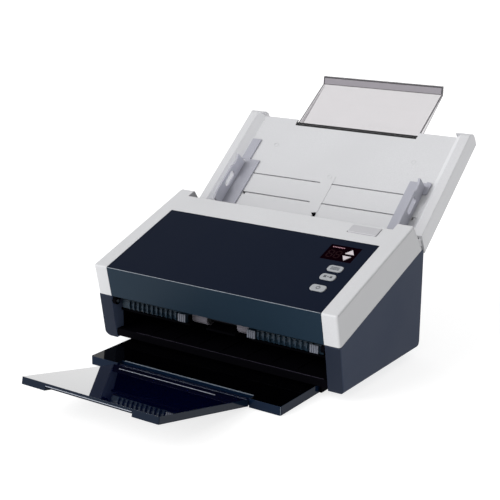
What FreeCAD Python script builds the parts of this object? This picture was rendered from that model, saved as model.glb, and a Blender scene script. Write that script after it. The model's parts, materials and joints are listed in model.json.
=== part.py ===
import FreeCAD, Part
import math
import os

V = FreeCAD.Vector

# Sheet fed document scanner. Millimetres, +X to the operator's right, +Y to the rear, +Z up.
# The working frame has x = 0 on the middle plane, y = 0 near the foot of the front face and
# z = 0 at the lower edge of the housing. PLACE moves it to the export frame, whose origin is
# on the table under the middle of the object's box.

# --- overall sizes -------------------------------------------------------------------------
HALF_W = 158.0                  # half the housing's width
FOOT_H = 10.0                   # housing's lower edge above the table
FOOT_PLACES = [(-133.2, 42), (-133.2, 160), (133.2, 42), (133.2, 160)]
SCREW_PLACES = [(-100, 130), (80, 130), (-60, 22), (60, 22)]
DEPTH_CENTRE = 81.7             # middle of the object's length, with both trays out
PLACE = V(0, -DEPTH_CENTRE, FOOT_H)
WALL = 2.5
SEAM = 0.35                     # gap between the base and the cover

# --- housing side profile (y, z) -----------------------------------------------------------
FRONT_FOOT = (5.0, 0.0)
FRONT_SPLIT = (-4.1, 52.0)
FRONT_TOP = (-12.1, 87.9)
FRONT_LEAN = 12.6               # degrees the front face leans forward
REAR_TOP = (151.6, 146.0)
REAR_SPLIT = (174.0, 114.9)
REAR_Y = 177.0
SLOPE = 19.5                    # slope of the cover's top, the split line and the paper path
BAND = 19.0                     # width of the white side bands
PANEL_X = HALF_W - BAND
BAY_X = 140.0                   # inner faces of the cheeks beside the bay
PANEL_LENGTH = 127.3            # top panel, along the slope
RECESS_Y = 139.5                # rear edge of the cover between its two ears
RECESS_X = 138.0
PANEL_GAP = 0.25                # between the panels and the white frame
FOLD_GAP = 0.12                 # each panel's setback from the mitre at their fold

# --- control area, in the top panel's plane (x across, t up the slope from the front edge) -----
DISPLAY = (87.0, 124.5, 88.0, 116.6)
UP_KEY = (115.5, 107.4)
DOWN_KEY = (114.8, 94.8)
KEY_PLACES = [(114.5, 74.0), (114.5, 58.0), (114.5, 37.5)]
KEY_SIZE = (17.6, 10.4)
BUTTON = (91.0, 126.8, 143.0, 157.2)

# --- cover hinge and paper path ------------------------------------------------------------
COVER_AXIS = (1.0, 46.0)
COVER_PIN_R = 2.0
PATH_START = (17.0, 48.0)       # a point on the paper path's lower surface
PATH_X = 139.4
PATH_END = 145.0                # along the path, where the feed ramp starts
SHAFT_R = 3.0
ROLLER_R = 8.0
ROLLER_DEPTH = 7.7              # drive shafts below the path surface
ROLLER_X = 30.0
ROLLER_W = 20.0
EXIT_T, TRANSPORT_T, FEED_T, SEPARATION_T = 3.5, 45.0, 100.0, 128.0
IDLER_R = 5.0
IDLER_UP = 5.8
FIT = 0.05                      # radial running clearance
EXIT_OPEN_X = 40.4              # half width of the gap between the two exit lips

# --- drive in the right side housing -------------------------------------------------------
PULLEY_R = 10.0
DRIVEN_R = 11.5
MOTOR_PULLEY_R = 6.0
MOTOR_AXIS = (150.0, 40.0)
BELT_T = 1.2
BELT_GAP = 0.3

# --- input chute, in its own frame: s up the slope from the rim's foot, n square to it --------
CHUTE_FOOT = (179.87, 128.02)
CHUTE_SLOPE = 39.4
CHUTE_PIVOT = (184.0, 120.0)
CHUTE_X = 153.7
RIM_X = 142.3
FLOOR_X = 134.0
FLOOR_N = -8.1
FLOOR_T = 2.2
CHUTE_DEPTH = 22.6
FLOOR_END = 153.0
CHUTE_CORNER = [(150.5, 0), (154.6, -1.4), (157.4, -4.6), (159.0, -9.5), (158.8, -15.5),
                (157.2, -CHUTE_DEPTH)]
NOTCH_S = 146.0
EXTENSION_X = 84.8
EXTENSION_TILT = 3.7
EXTENSION_LENGTH = 78.8
EXTENSION_LIP = 10.2
GUIDE_X = 124.0
GUIDE_H = 20.0
SLOT_LOW, SLOT_HIGH = 28.5, 59.0
PINION_S = 44.0
PINION_TEETH = 12
MODULE = 1.5
PINION_R = PINION_TEETH * MODULE / 2
RACK_N = (-14.6, -11.2)
SENSOR_PIVOT = (13.0, -13.2)

# --- output tray ---------------------------------------------------------------------------
TRAY_X = 123.4
TRAY_FRONT = -58.8
TRAY_REAR = 100.0
TRAY_Z = (-9.2, 0.4)
FLAP_X = 85.2
FLAP_LENGTH = 148.5
FLAP_SLOPE = 12.6
FLAP_AXIS = (-55.6, -4.7)
FLAP_T = 7.4


# --- small helpers -------------------------------------------------------------------------
def box(x0, x1, y0, y1, z0, z1):
    return Part.makeBox(x1 - x0, y1 - y0, z1 - z0, V(x0, y0, z0))


def prism(points, x0, x1):
    """A (y, z) outline swept along X."""
    corners = [V(x0, y, z) for y, z in points]
    return Part.Face(Part.makePolygon(corners + corners[:1])).extrude(V(x1 - x0, 0, 0))


def rod(centre, radius, x0, x1):
    return Part.makeCylinder(radius, x1 - x0, V(x0, centre[0], centre[1]), V(1, 0, 0))


def join(shapes):
    return shapes[0].multiFuse(shapes[1:]).removeSplitter() if len(shapes) > 1 else shapes[0]


def group(shapes):
    return Part.makeCompound(shapes)


def mirrored(shape):
    return shape.mirror(V(0, 0, 0), V(1, 0, 0))


def both_sides(shape):
    return group([shape, mirrored(shape)])


def rounded(shape, radius, wanted):
    """Fillet the edges for which wanted(middle point, direction) is true."""
    edges = []
    for edge in shape.Edges:
        start, end = edge.Vertexes[0].Point, edge.Vertexes[-1].Point
        if start.distanceToPoint(end) > 1e-6:
            if wanted((start + end) * 0.5, (end - start).normalize()):
                edges.append(edge)
    return shape.makeFillet(radius, edges)


def turned(shape, angle, foot):
    """Lay a shape built flat at the origin on a slope that starts at foot."""
    copy = shape.copy()
    copy.rotate(V(0, 0, 0), V(1, 0, 0), angle)
    copy.translate(V(0, foot[0], foot[1]))
    return copy


def on_cover(shape):
    return turned(shape, SLOPE, FRONT_TOP)


def on_path(shape):
    return turned(shape, SLOPE, PATH_START)


def on_chute(shape):
    return turned(shape, CHUTE_SLOPE, CHUTE_FOOT)


def slope_point(foot, angle, along, up):
    a = math.radians(angle)
    return (foot[0] + along * math.cos(a) - up * math.sin(a),
            foot[1] + along * math.sin(a) + up * math.cos(a))


def cover_point(t, h):
    return slope_point(FRONT_TOP, SLOPE, t, h)


def path_point(t, h):
    return slope_point(PATH_START, SLOPE, t, h)


def front_point(down, inward):
    """Point measured down the front face from the fold and in from its surface."""
    a = math.radians(FRONT_LEAN)
    return (FRONT_TOP[0] + down * math.sin(a) + inward * math.cos(a),
            FRONT_TOP[1] - down * math.cos(a) + inward * math.sin(a))


def split_z(y):
    return FRONT_SPLIT[1] + (y - FRONT_SPLIT[0]) * math.tan(math.radians(SLOPE))


def screw(x, y, z, length, head_r=2.8, head_h=1.2, shank_r=1.4):
    head = Part.makeCylinder(head_r, head_h, V(x, y, z - head_h))
    shank = Part.makeCylinder(shank_r, length, V(x, y, z))
    socket = Part.makeCylinder(head_r * 0.45, head_h * 0.6, V(x, y, z - head_h))
    return head.fuse(shank).cut(socket)


# --- base ----------------------------------------------------------------------------------
def side_outline():
    return [FRONT_FOOT, FRONT_SPLIT, REAR_SPLIT, (REAR_Y, 111.0), (REAR_Y, 0.0)]


def chute_ear():
    """Bracket behind the base that carries one pin of the chute."""
    y, z = CHUTE_PIVOT
    shank = prism([(REAR_Y - 1.5, 102), (REAR_Y - 1.5, 113.4), (y - 2, z + 3.4), (y + 2.8, z - 2.8)],
                  144.5, 148.5)
    ear = join([shank, rod(CHUTE_PIVOT, 4.0, 144.5, 148.5)])
    return ear.cut(rod(CHUTE_PIVOT, 2.0 + FIT, 144, 149))


def side_shell(bottom_radius):
    """Right side housing: a hollow cheek with its bottom and rear closed."""
    block = prism(side_outline(), BAY_X, HALF_W)
    block = rounded(block, 8.0, lambda m, d: abs(d.x) > .9 and m.y > 170 and m.z < 1)
    block = rounded(block, 1.8, lambda m, d: m.x > 157 and abs(d.x) < .1 and abs(d.z) > .9 and m.y < 10)
    rounded_foot = rounded(box(BAY_X, HALF_W, -20, 190, 0, 130), bottom_radius,
                           lambda m, d: m.x > 157 and abs(d.y) > .9 and m.z < 1)
    block = block.common(rounded_foot)
    hollow = [(FRONT_FOOT[0] + WALL, WALL), (FRONT_SPLIT[0] + WALL + .6, split_z(-1) - WALL - 1),
              (170.0, split_z(170) - WALL - 1), (REAR_Y - WALL, 105.0), (REAR_Y - WALL, WALL + 6)]
    shell = block.cut(prism(hollow, BAY_X + 2.2, HALF_W - WALL))
    reach = math.hypot(COVER_AXIS[0] - FRONT_SPLIT[0], COVER_AXIS[1] - FRONT_SPLIT[1])
    trim = rod(COVER_AXIS, reach + .5, BAY_X - 1, HALF_W + 1)
    trim = trim.cut(rod(COVER_AXIS, 7.0, BAY_X - 2, HALF_W + 2))
    trim = trim.common(prism([(-12, 47.5), (-12, 60), (1.5, 60), (1.5, 47.5)], BAY_X - 2, HALF_W + 2))
    shell = shell.cut(trim)
    shell = shell.cut(rod(COVER_AXIS, COVER_PIN_R, BAY_X - 1, BAY_X + 3))
    for t in (EXIT_T, TRANSPORT_T, FEED_T, SEPARATION_T):
        shell = shell.cut(rod(path_point(t, -ROLLER_DEPTH), 5.0, BAY_X - 1, BAY_X + 3))
    return join([shell, chute_ear()])


def right_side_shell():
    return side_shell(3.5).cut(rod(MOTOR_AXIS, 7.5, BAY_X - 1, BAY_X + 3))


def left_side_shell():
    return mirrored(side_shell(9.0))


def base_bottom():
    plate = box(-BAY_X + .2, BAY_X - .2, 8, REAR_Y - WALL - .2, 2.6, 5.2)
    ribs = [box(-BAY_X + .2, BAY_X - .2, y, y + 2, 5.2, 8.6) for y in (30, 60, 90)]
    skirts = [box(x - 1, x + 1, 8, REAR_Y - WALL - .2, 5.2, 8.6) for x in (-110, -55, 0, 55, 110)]
    plate = join([plate] + ribs + skirts)
    for x, y in SCREW_PLACES:
        plate = plate.cut(Part.makeCylinder(1.4, 8, V(x, y, 0)))
    return plate


def rear_shell():
    wall = box(-BAY_X + .2, BAY_X - .2, REAR_Y - WALL, REAR_Y, 2.6, 109.4)
    lip = prism([(REAR_Y - WALL, 106.4), (REAR_Y - WALL, 109.4), (170, 105.4), (170, 103)],
                -BAY_X + .2, BAY_X - .2)
    wall = join([wall, lip])
    for column in range(14):
        x = -26 + 4 * column
        wall = wall.cut(box(x - 1, x + 1, REAR_Y - 4, REAR_Y + 1, 60, 84))
    wall = wall.cut(box(-98, -84, REAR_Y - 4, REAR_Y + 1, 14, 28))
    return wall.cut(box(-121, -108, REAR_Y - 4, REAR_Y + 1, 15, 27))


def bay_floor():
    plate = box(-BAY_X + .2, BAY_X - .2, 5, 112, 8.8, 11)
    front = box(-BAY_X + .2, BAY_X - .2, 5, 7.4, 2.6, 9)
    plate = join([plate, front])
    plate = rounded(plate, 1.0, lambda m, d: abs(d.x) > .9 and m.y < 5.1 and m.z > 10.9)
    rail = box(-1.2, 1.2, 14, 104, 11, 11.8)
    rails = []
    for x in (-96, -64, -32, 0, 32, 64, 96):
        copy = rail.copy()
        copy.translate(V(x, 0, 0))
        rails.append(copy)
    return join([plate] + rails)


def roller_windows(t, above, below):
    """Openings in a path plate for the two rollers of one shaft."""
    opening = box(-ROLLER_W / 2 - 1, ROLLER_W / 2 + 1, t - ROLLER_R - 1, t + ROLLER_R + 1, below, above)
    cuts = []
    for x in (-ROLLER_X, ROLLER_X):
        copy = opening.copy()
        copy.translate(V(x, 0, 0))
        cuts.append(copy)
    return cuts


def bay_liner():
    ceiling = prism([(12.4, 31.6), (12.4, 33.6), (112, 38), (114, 36)], -PATH_X, PATH_X)
    back = box(-PATH_X, PATH_X, 112, 114, 11.3, 37)
    cheek = box(PATH_X - 1.2, PATH_X, 16, 113, 11.2, 33)
    liner = join([ceiling, back, cheek, mirrored(cheek)])
    for x in (-ROLLER_X, ROLLER_X):
        liner = liner.cut(box(x - 11, x + 11, 8, 29, 30, 36))
    return liner


def exit_guide():
    """Ribbed lips that lead the sheets out, one on each side of the exit rollers."""
    lip = prism([(14.6, 44.6), (9.0, 45.0), (8.0, 42), (9.2, 37), (7.2, 37), (6.0, 42), (7.2, 47),
                 (14.4, 46.4)], EXIT_OPEN_X, 132)
    block = prism([(3.6, 46.8), (3.6, 37.6), (8.0, 37.2), (7.6, 46.9)], EXIT_OPEN_X, EXIT_OPEN_X + 10)
    ribs = []
    for index in range(11):
        x = EXIT_OPEN_X + 14 + 6.6 * index
        ribs.append(prism([(7.4, 46.9), (4.0, 46.4), (3.4, 41), (4.6, 37.6), (8.0, 37.3)], x - .8, x + .8))
    return both_sides(join([lip, block] + ribs))


def lower_path_plate():
    """Lower paper path with the ramp that meets the chute's floor."""
    flat = box(-PATH_X, PATH_X, -2.3, PATH_END, -2, 0)
    for t in (EXIT_T, TRANSPORT_T, FEED_T):
        for window in roller_windows(t, 1, -3):
            flat = flat.cut(window)
    flat = flat.cut(box(-15, 15, SEPARATION_T - 8, SEPARATION_T + 8, -3, 1))
    flat = flat.cut(box(-116, 116, 59.5, 74.5, -3, 1))
    flat = flat.cut(box(-PATH_X - 1, -132, -4, 5, -3, 1)).cut(box(132, PATH_X + 1, -4, 5, -3, 1))
    end = path_point(PATH_END, 0)
    low = path_point(PATH_END, -2)
    top = (179.3, end[1] + (179.3 - end[0]) * math.tan(math.radians(CHUTE_SLOPE)))
    ramp = prism([end, top, (top[0] + 1.3, top[1] - 1.6), low], -133.6, 133.6)
    return join([on_path(flat), ramp])


def scan_module(t0, t1, h0, h1):
    """Contact image sensor bar with its end brackets."""
    bar = box(-118, 118, t0, t1, h0, h1)
    bar = rounded(bar, 1.2, lambda m, d: abs(d.x) > .9 and abs(m.z - h0) < .01)
    ends = [box(x - 5, x + 5, t0 + 3, t1 - 3, h0 + 2, h0 + 5) for x in (-122, 122)]
    return on_path(join([bar] + ends))


def lower_scan_module():
    return scan_module(58, 76, -15, -2.3)


def lower_scan_glass():
    return on_path(box(-115.6, 115.6, 59.9, 74.1, -2.1, -.1))


def board(x0, x1, y0, y1, z, parts):
    plate = box(x0, x1, y0, y1, z, z + 1.6)
    chips = [box(x0 + a, x0 + a + w, y0 + b, y0 + b + d, z + 1.6, z + 1.6 + h) for a, b, w, d, h in parts]
    return join([plate] + chips)


def main_board():
    chips = [(8, 6, 16, 16, 1.6), (34, 10, 10, 10, 1.2), (54, 8, 6, 18, 7), (70, 6, 12, 8, 3),
             (92, 20, 14, 14, 1.6), (120, 10, 8, 8, 9), (134, 10, 8, 8, 9), (12, 30, 24, 6, 6)]
    return board(-110, 70, 117, 157, 12, chips)


def drive_motor():
    can = rod(MOTOR_AXIS, 19, 92, 128)
    flange = box(128, 130.4, MOTOR_AXIS[0] - 21, MOTOR_AXIS[0] + 21, MOTOR_AXIS[1] - 21,
                 MOTOR_AXIS[1] + 21)
    foot = box(96, 130.4, MOTOR_AXIS[0] - 14, MOTOR_AXIS[0] + 14, 8.8, 22)
    motor = join([can, flange, foot])
    return motor.cut(rod(MOTOR_AXIS, 2.5 + FIT, 110, 131))


def belt(big, big_r, small, small_r, x0, x1):
    """Closed belt round two pulleys, a little clear of both."""
    def hull(extra):
        r1, r2 = big_r + extra, small_r + extra
        dy, dz = small[0] - big[0], small[1] - big[1]
        gap = math.hypot(dy, dz)
        heading = math.atan2(dz, dy)
        lean = math.acos((r1 - r2) / gap)
        corners = []
        for centre, radius, side in ((big, r1, 1), (small, r2, 1), (small, r2, -1), (big, r1, -1)):
            a = heading + side * lean
            corners.append((centre[0] + radius * math.cos(a), centre[1] + radius * math.sin(a)))
        return join([prism(corners, x0, x1), rod(big, r1, x0, x1), rod(small, r2, x0, x1)])
    return hull(BELT_GAP + BELT_T).cut(hull(BELT_GAP))


def drive_belt():
    exit_axis, feed_axis = path_point(EXIT_T, -ROLLER_DEPTH), path_point(FEED_T, -ROLLER_DEPTH)
    return belt(feed_axis, PULLEY_R, exit_axis, PULLEY_R, 144.0, 147.2)


def motor_belt():
    return belt(path_point(FEED_T, -ROLLER_DEPTH), DRIVEN_R, MOTOR_AXIS, MOTOR_PULLEY_R, 149.6, 152.8)


def shaft_bushes():
    rings = []
    for t in (EXIT_T, TRANSPORT_T, FEED_T, SEPARATION_T):
        centre = path_point(t, -ROLLER_DEPTH)
        ring = rod(centre, 5.0, BAY_X, BAY_X + 2.2).fuse(rod(centre, 6.4, BAY_X - .6, BAY_X))
        ring = ring.removeSplitter().cut(rod(centre, SHAFT_R + FIT, BAY_X - 2, BAY_X + 4))
        rings += [ring, mirrored(ring)]
    return group(rings)


def tray_rails():
    web = box(125.7, 127.4, 14, 166, -8.2, 2.6)
    lips = [box(TRAY_X + .4, 125.8, 14, 166, z0, z0 + 2) for z0 in (-8.2, -2.2)]
    return both_sides(join([web] + lips))


def feet():
    feet_list = []
    for x, y in FOOT_PLACES:
        pad = Part.makeCone(5.0, 5.5, 4.0, V(x, y, -FOOT_H))
        stem = Part.makeCylinder(5.5, FOOT_H - 4 + 2.6, V(x, y, -FOOT_H + 4))
        feet_list.append(join([pad, stem]))
    return group(feet_list)


def base_screws():
    return group([screw(x, y, 2.6, 5.0) for x, y in SCREW_PLACES])


def dc_jack():
    body = box(-97.7, -84.3, 160, REAR_Y - .4, 14.3, 27.7)
    body = body.cut(Part.makeCylinder(3.0, 12, V(-91, REAR_Y - 11, 21), V(0, 1, 0)))
    pin = Part.makeCylinder(1.0, 10, V(-91, REAR_Y - 12, 21), V(0, 1, 0))
    return join([body, pin])


def usb_port():
    body = box(-120.7, -108.3, 158, REAR_Y - .4, 15.3, 26.7)
    body = body.cut(box(-119, -110, REAR_Y - 10, REAR_Y + 1, 16.8, 25.2))
    tongue = box(-117.2, -111.8, REAR_Y - 11, REAR_Y - 2, 19.4, 22.6)
    return join([body, tongue])


def cover_hinge_pins():
    return both_sides(rod(COVER_AXIS, COVER_PIN_R, 134.0, BAY_X + 2.2))


# --- driven shafts -------------------------------------------------------------------------
def drive_shaft(t, reach):
    return rod(path_point(t, -ROLLER_DEPTH), SHAFT_R, -BAY_X - 3, reach)


def drive_rollers(t, radius=ROLLER_R, width=ROLLER_W, places=(-ROLLER_X, ROLLER_X)):
    centre = path_point(t, -ROLLER_DEPTH)
    rings = []
    for x in places:
        ring = rod(centre, radius, x - width / 2, x + width / 2)
        rings.append(ring.cut(rod(centre, SHAFT_R, x - width, x + width)))
    return group(rings)


def pulley(centre, radius, x0, x1, bore):
    core = rod(centre, radius, x0, x1)
    flanges = [rod(centre, radius + 2.2, x0 - .5, x0 + .4), rod(centre, radius + 2.2, x1 - .4, x1 + .5)]
    return join([core] + flanges).cut(rod(centre, bore, x0 - 2, x1 + 2))


def shaft_pulley(t):
    return pulley(path_point(t, -ROLLER_DEPTH), PULLEY_R, 143.5, 147.7, SHAFT_R)


def feed_pulley():
    centre = path_point(FEED_T, -ROLLER_DEPTH)
    return join([shaft_pulley(FEED_T), pulley(centre, DRIVEN_R, 149.1, 153.3, SHAFT_R),
                 rod(centre, 6, 148, 149).cut(rod(centre, SHAFT_R, 147, 150))])


def motor_pulley():
    wheel = pulley(MOTOR_AXIS, MOTOR_PULLEY_R, 149.1, 153.3, 2.0)
    return join([wheel, rod(MOTOR_AXIS, 2.5, 112, 154)])


def separation_roller():
    centre = path_point(SEPARATION_T, -ROLLER_DEPTH)
    shaft = rod(centre, SHAFT_R, -BAY_X - 3, BAY_X + 3)
    return join([shaft, rod(centre, ROLLER_R, -13, 13)])


# --- cover ---------------------------------------------------------------------------------
def cover_outline(inset, bottom):
    """Side outline of the cover, moved in by inset; bottom is its lower side above the seam."""
    lean = math.tan(math.radians(FRONT_LEAN))
    front_low = (FRONT_SPLIT[0] - bottom * lean + inset, FRONT_SPLIT[1] + bottom)
    front_high = cover_point(inset * 1.25, -inset)
    rear_high = (REAR_TOP[0] - inset * 1.25, REAR_TOP[1] - inset * 1.35)
    rear_low = (REAR_SPLIT[0] - inset * 1.25, REAR_SPLIT[1] + bottom)
    return [front_low, front_high, rear_high, rear_low]


def cover_shell():
    """White frame of the cover: two side bands, two rear ears and the strip between them."""
    outer = prism(cover_outline(0, SEAM), -HALF_W, HALF_W)
    outer = rounded(outer, 3.0, lambda m, d: abs(m.x) > 157 and abs(d.x) < .1 and d.z * d.z > .45)
    outer = rounded(outer, 2.0, lambda m, d: abs(m.x) > 157 and abs(d.y) > .9 and m.z > 100)
    inner = prism(cover_outline(WALL, -6), -HALF_W + WALL, HALF_W - WALL)
    outer = outer.cut(box(-RECESS_X, RECESS_X, RECESS_Y, 200, 90, 170))
    inner = inner.cut(box(-RECESS_X - WALL, RECESS_X + WALL, RECESS_Y - WALL, 200, 60, 170))
    shell = outer.cut(inner)
    reach = PANEL_X + PANEL_GAP
    seat = on_cover(box(-reach, reach, -8, PANEL_LENGTH + PANEL_GAP, -WALL - .05, 6))
    face = prism([(-20, 46), (-20, 92), (6, 92), (6, 46)], -reach, reach)
    shell = shell.cut(seat).cut(face)
    shell = shell.cut(box(-RECESS_X - .1, RECESS_X + .1, 130, RECESS_Y + 1, 90, 120))
    x0, x1, t0, t1 = BUTTON
    return shell.cut(on_cover(box(x0 - .4, x1 + .4, t0 - .4, t1 + .4, -4, 2)))


def oblong(x, t, width, length, h0, h1):
    block = box(x - width / 2, x + width / 2, t - length / 2, t + length / 2, h0, h1)
    return rounded(block, length * .36, lambda m, d: abs(d.z) > .9)


def triangle(x, t, half, height, point_up, h0, h1):
    sign = 1 if point_up else -1
    corners = [V(x - half, t - sign * height / 2, h0), V(x + half, t - sign * height / 2, h0),
               V(x, t + sign * height / 2, h0)]
    return Part.Face(Part.makePolygon(corners + corners[:1])).extrude(V(0, 0, h1 - h0))


def mitre():
    """Length the fold's mitre runs back over one wall thickness."""
    return WALL / math.tan(math.radians((90 + SLOPE - FRONT_LEAN) / 2))


def top_panel():
    outline = [cover_point(FOLD_GAP, 0), cover_point(PANEL_LENGTH, 0), cover_point(PANEL_LENGTH, -WALL),
               cover_point(FOLD_GAP + mitre(), -WALL)]
    panel = prism(outline, -PANEL_X, PANEL_X)
    panel = panel.cut(on_cover(box(*DISPLAY, -4, 1)))
    for x, t in KEY_PLACES:
        panel = panel.cut(on_cover(oblong(x, t, KEY_SIZE[0] + .8, KEY_SIZE[1] + .8, -4, 1)))
    return panel


def front_panel():
    low = FRONT_SPLIT[1] + SEAM
    length = (FRONT_TOP[1] - low) / math.cos(math.radians(FRONT_LEAN))
    outline = [front_point(length, 0), front_point(FOLD_GAP, 0), front_point(FOLD_GAP + mitre(), WALL),
               front_point(length, WALL)]
    panel = prism(outline, -PANEL_X, PANEL_X)
    inside = front_point(length, WALL)[0] - .3
    shelf = prism([(inside, low), (inside, low + 2), (4.6, low + 5.0), (4.6, low + 3.0)], -132, 132)
    return join([panel, shelf])


def cover_inner():
    """Upper paper path: a folded plate with end walls, side flanges and the two hinge arms."""
    outline = [(-8, 9.5), (-2.5, 1.5), (133, 1.5), (140, 8), (139.3, 26.6), (137.3, 27.3), (138, 9),
               (132, 3.5), (-1.5, 3.5), (-6, 10)]
    plate = prism([path_point(t, h) for t, h in outline], -136, 136)
    ends = prism([path_point(t, h) for t, h in ((-2.4, 1.6), (133, 1.6), (139.9, 8), (138, 20), (-8, 14))],
                 134, 136)
    flange_low = 10.9 + SEAM
    flange = on_path(join([box(134, HALF_W - WALL - .2, 2, 126, flange_low, flange_low + 2),
                           box(RECESS_X + WALL + .3, HALF_W - WALL - .2, 125, 151, flange_low,
                               flange_low + 2)]))
    plate = join([plate, ends, mirrored(ends), flange, mirrored(flange)])
    for t in (EXIT_T, TRANSPORT_T, FEED_T):
        for x in (-ROLLER_X, ROLLER_X):
            window = box(x - 8, x + 8, t - IDLER_R - 1, t + IDLER_R + 1, 0, 6)
            plate = plate.cut(on_path(window))
    plate = plate.cut(on_path(box(-16, 16, SEPARATION_T - 13, 150, 0, 40)))
    plate = plate.cut(on_path(box(-116, 116, 73.5, 88.5, 0, 6)))
    y, z = COVER_AXIS
    arm = prism([(y - 2, z), (y + 4, z), (y + 12, z + 14), (y + 12, z + 20), (y - 4, z + 20),
                 (y - 2.3, z + 6)], 134.4, 139)
    arm = join([arm, rod(COVER_AXIS, 4.2, 134.4, 139)])
    arm = arm.cut(rod(COVER_AXIS, COVER_PIN_R + FIT, 133, 141))
    plate = plate.cut(box(134.2, 141, -8, 16, 44, 55)).cut(box(-141, -134.2, -8, 16, 44, 55))
    return join([plate, arm, mirrored(arm)])


def upper_scan_module():
    bar = box(-118, 118, 72, 90, 3.8, 17)
    ends = [box(x - 5, x + 5, 75, 87, 12, 15) for x in (-122, 122)]
    return on_path(join([bar] + ends))


def upper_scan_glass():
    return on_path(box(-115.6, 115.6, 73.9, 88.1, 1.7, 3.7))


def control_board():
    plate = box(76, 132, 24, 122, -8.4, -6.8)
    switches = [box(x - 3, x + 3, t - 3, t + 3, -6.8, -5.4) for x, t in KEY_PLACES + [UP_KEY, DOWN_KEY]]
    digits = box(90, 106, 96, 110, -6.8, -4.4)
    return on_cover(join([plate, digits] + switches))


def display_window():
    x0, x1, t0, t1 = DISPLAY
    window = box(x0 + .15, x1 - .15, t0 + .15, t1 - .15, -2.4, -.15)
    window = rounded(window, 1.0, lambda m, d: abs(d.z) > .9)
    window = window.cut(triangle(*UP_KEY, 5.9, 9.2, True, -4, 1))
    return on_cover(window.cut(triangle(*DOWN_KEY, 5.9, 9.2, False, -4, 1)))


def oblong_key(place):
    cap = oblong(place[0], place[1], KEY_SIZE[0], KEY_SIZE[1], -2.4, .9)
    cap = rounded(cap, .5, lambda m, d: abs(m.z - .9) < .01)
    stem = Part.makeCylinder(2.4, 1.6, V(place[0], place[1], -4.0))
    return on_cover(join([cap, stem]))


def arrow_key(place, point_up):
    cap = triangle(*place, 5.2, 8.0, point_up, -2.4, .35)
    stem = Part.makeCylinder(1.5, 1.6, V(place[0], place[1] + (-1 if point_up else 1), -4.0))
    return on_cover(join([cap, stem]))


def release_button():
    cap = box(*BUTTON, -2.4, 1.0)
    cap = rounded(cap, 2.0, lambda m, d: abs(d.z) > .9)
    cap = rounded(cap, .7, lambda m, d: abs(m.z - 1.0) < .01)
    foot = box(94, 124, 146, 154, -4.0, -2.4)
    return on_cover(join([cap, foot]))


def idlers(t):
    centre = path_point(t, IDLER_UP)
    axle = rod(centre, 1.5, -46, 46)
    wheels = [rod(centre, IDLER_R, x - 6, x + 6) for x in (-ROLLER_X, ROLLER_X)]
    return join([axle] + wheels)


def idler_holders():
    """Clips on the upper path that carry the idler axles and the pick roller's shaft."""
    holders = []
    for t in (EXIT_T, FEED_T):
        centre = path_point(t, IDLER_UP)
        for x in (-44, -16, 16, 44):
            post = on_path(box(x - 1.5, x + 1.5, t - 3, t + 3, 3.5, 12))
            holders.append(post.cut(rod(centre, 1.5 + FIT, x - 3, x + 3)))
    centre = path_point(SEPARATION_T, 11.9)
    for x in (-19, 19):
        post = on_path(box(x - 1.5, x + 1.5, SEPARATION_T - 6, SEPARATION_T + 3.4, 3.5, 20))
        holders.append(post.cut(rod(centre, 2.5 + FIT, x - 3, x + 3)))
    return group(holders)


def pick_roller():
    centre = path_point(SEPARATION_T, 11.9)
    return join([rod(centre, 2.5, -23, 23), rod(centre, 11.0, -13, 13)])


# --- input chute ---------------------------------------------------------------------------
def chute_side_outline():
    """Side of the chute in (s, n): slanted lower end, rounded upper corner."""
    return [(-6.3, -CHUTE_DEPTH), (0, 0)] + CHUTE_CORNER


def chute_pivot():
    """Chute's pivot in the chute's own (s, n)."""
    a = math.radians(CHUTE_SLOPE)
    dy, dz = CHUTE_PIVOT[0] - CHUTE_FOOT[0], CHUTE_PIVOT[1] - CHUTE_FOOT[1]
    return dy * math.cos(a) + dz * math.sin(a), -dy * math.sin(a) + dz * math.cos(a)


def chute_lugs():
    s, n = chute_pivot()
    lugs = []
    for x0 in (141.4, 149.0):
        lug = join([prism([(s, n - 4.5), (s, n + 4.5), (12, -2.2), (12, -20)], x0, x0 + 2.7),
                    rod((s, n), 4.5, x0, x0 + 2.7)])
        lugs.append(lug.cut(rod((s, n), 2.0, x0 - 1, x0 + 4)))
    return lugs


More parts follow.
